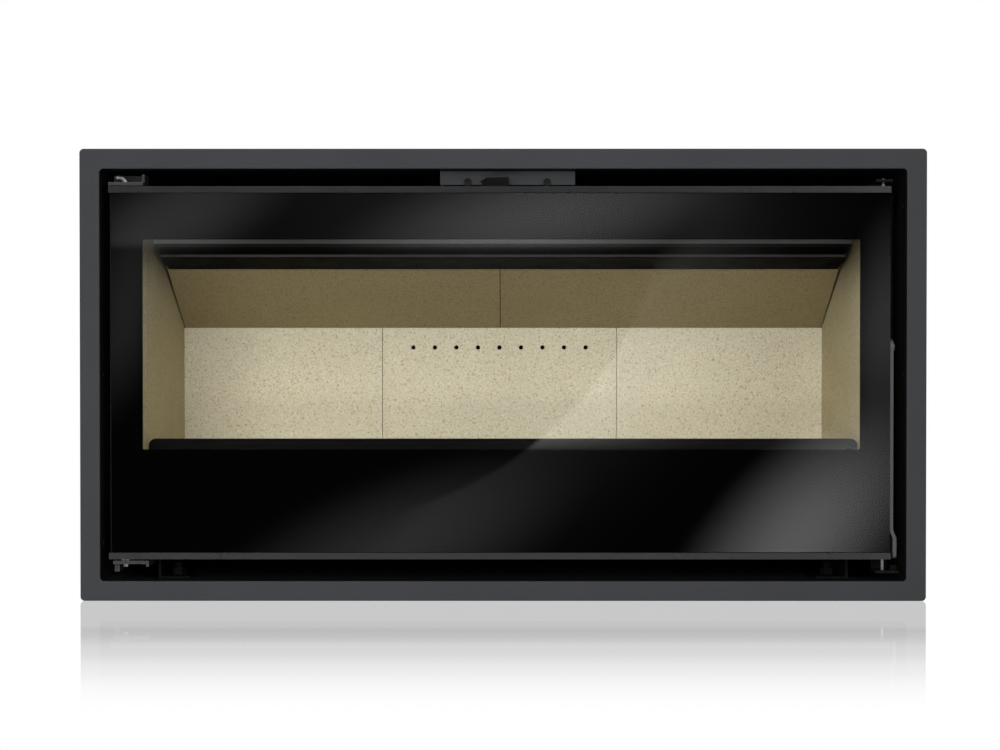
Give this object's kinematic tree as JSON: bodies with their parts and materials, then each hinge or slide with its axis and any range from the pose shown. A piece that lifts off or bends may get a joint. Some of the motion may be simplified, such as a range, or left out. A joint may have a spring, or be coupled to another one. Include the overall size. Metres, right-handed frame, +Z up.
{
  "type": "fireplace insert",
  "caption": "Landscape wood-burning fireplace insert with a glazed side-hinged door, latch lever, vermiculite-lined firebox, air control and steel surround.",
  "frame": {"origin": "bottom centre of the whole insert, at the underside of its levelling feet", "axes": "+X to the right seen from the front, +Y from the glazed front to the back, +Z up"},
  "size_m": [1.048, 0.447, 0.57],
  "materials": {
    "surround_paint": "satin anthracite stove paint",
    "galvanised_sheet": "spangled galvanised sheet",
    "zinc_fastener": "zinc plated",
    "firebox_paint": "matt black stove paint",
    "bracket_paint": "satin dark grey paint",
    "black_screw": "black oxide",
    "vermiculite": "pressed vermiculite, speckled",
    "bright_steel": "plain drawn steel",
    "rail_paint": "satin dark grey paint",
    "ceramic_glass": "clear glass ceramic",
    "black_print": "gloss black fired print",
    "sealing_tape": "flat woven glass tape",
    "sealing_rope": "braided glass fibre rope",
    "bronze_bush": "sintered bronze",
    "guide_steel": "plain steel",
    "cast_iron": "as cast, black"
  },
  "bodies": {
    "insert": {"surround_frame": "surround_paint", "surround_screws": "zinc_fastener", "casing_base": "galvanised_sheet", "casing_left_side": "galvanised_sheet", "casing_right_side": "galvanised_sheet", "casing_top": "galvanised_sheet", "casing_back": "galvanised_sheet", "air_inlet_spigot": "galvanised_sheet", "levelling_feet": "zinc_fastener", "support_rail_left": "firebox_paint", "support_rail_right": "firebox_paint", "firebox_floor": "firebox_paint", "firebox_left_wall": "firebox_paint", "firebox_right_wall": "firebox_paint", "firebox_back_wall": "firebox_paint", "secondary_air_duct": "firebox_paint", "firebox_top": "firebox_paint", "firebox_front_plate": "firebox_paint", "flue_collar": "firebox_paint", "side_brick_left": "vermiculite", "side_brick_right": "vermiculite", "ash_well": "firebox_paint", "air_deflector": "firebox_paint", "baffle_rail": "firebox_paint", "upper_hinge_pin": "bright_steel", "lower_hinge_pin": "bright_steel", "upper_hinge_bracket": "firebox_paint", "lower_hinge_bracket": "firebox_paint", "upper_keeper": "firebox_paint", "lower_keeper": "firebox_paint", "control_bracket": "bracket_paint", "control_bracket_screws": "black_screw", "air_lever_pin": "zinc_fastener", "back_brick_left": "vermiculite", "back_brick_centre": "vermiculite", "back_brick_right": "vermiculite", "baffle_brick_left": "vermiculite", "baffle_brick_right": "vermiculite", "hearth_brick_left": "vermiculite", "hearth_brick_right": "vermiculite", "hearth_brick_front": "vermiculite", "hearth_brick_rear": "vermiculite"},
    "door": {"door_frame": "firebox_paint", "door_glass": "ceramic_glass", "glass_print": "black_print", "glass_gasket": "sealing_tape", "top_glass_rail": "rail_paint", "bottom_glass_rail": "rail_paint", "rope_seal": "sealing_rope", "hinge_bushes": "bronze_bush", "handle_bearing": "bronze_bush", "rod_guides": "guide_steel"},
    "handle": {"handle_lever": "rail_paint"},
    "upper_rod": {"upper_bolt_rod": "bright_steel"},
    "lower_rod": {"lower_bolt_rod": "bright_steel"},
    "air_lever": {"air_lever": "firebox_paint"},
    "air_shutter": {"air_shutter": "bright_steel"},
    "ember_grate": {"ember_grate": "cast_iron"},
    "ash_pan": {"ash_pan": "firebox_paint"},
    "log_retainer": {"log_retainer": "firebox_paint"}
  },
  "joints": [
    {"name": "door_hinge", "type": "hinge", "parent": "insert", "child": "door", "pos_m": [-0.471, -0.2035, 0.283], "axis": [0, 0, -1], "range_deg": [0, 100]},
    {"name": "handle_pivot", "type": "hinge", "parent": "door", "child": "handle", "pos_m": [0.481, -0.1995, 0.315], "axis": [-1, 0, 0], "range_deg": [0, 45]},
    {"name": "upper_rod_slide", "type": "slide", "parent": "door", "child": "upper_rod", "axis": [0, 0, -1], "range_m": [0, 0.00514]},
    {"name": "lower_rod_slide", "type": "slide", "parent": "door", "child": "lower_rod", "axis": [0, 0, 1], "range_m": [0, 0.00514]},
    {"name": "air_lever_pivot", "type": "hinge", "parent": "insert", "child": "air_lever", "pos_m": [0, -0.1195, 0.516], "axis": [0, 0, 1], "range_deg": [0, 26]},
    {"name": "air_shutter_slide", "type": "slide", "parent": "insert", "child": "air_shutter", "axis": [1, 0, 0], "range_m": [0, 0.01852]},
    {"name": "grate_lift", "type": "slide", "parent": "insert", "child": "ember_grate", "axis": [0, 0, 1], "range_m": [0, 0.12]},
    {"name": "ash_pan_lift", "type": "slide", "parent": "insert", "child": "ash_pan", "axis": [0, 0, 1], "range_m": [0, 0.12]},
    {"name": "log_retainer_lift", "type": "slide", "parent": "insert", "child": "log_retainer", "axis": [0, 0, 1], "range_m": [0, 0.05]}
  ],
  "couplings": [
    {"joint": "upper_rod_slide", "follows": "handle_pivot", "m_per_rad": 0.006482},
    {"joint": "lower_rod_slide", "follows": "handle_pivot", "m_per_rad": 0.006482},
    {"joint": "air_shutter_slide", "follows": "air_lever_pivot", "m_per_rad": 0.040701},
    {"joint": "ash_pan_lift", "follows": "grate_lift", "ratio": 1}
  ]
}
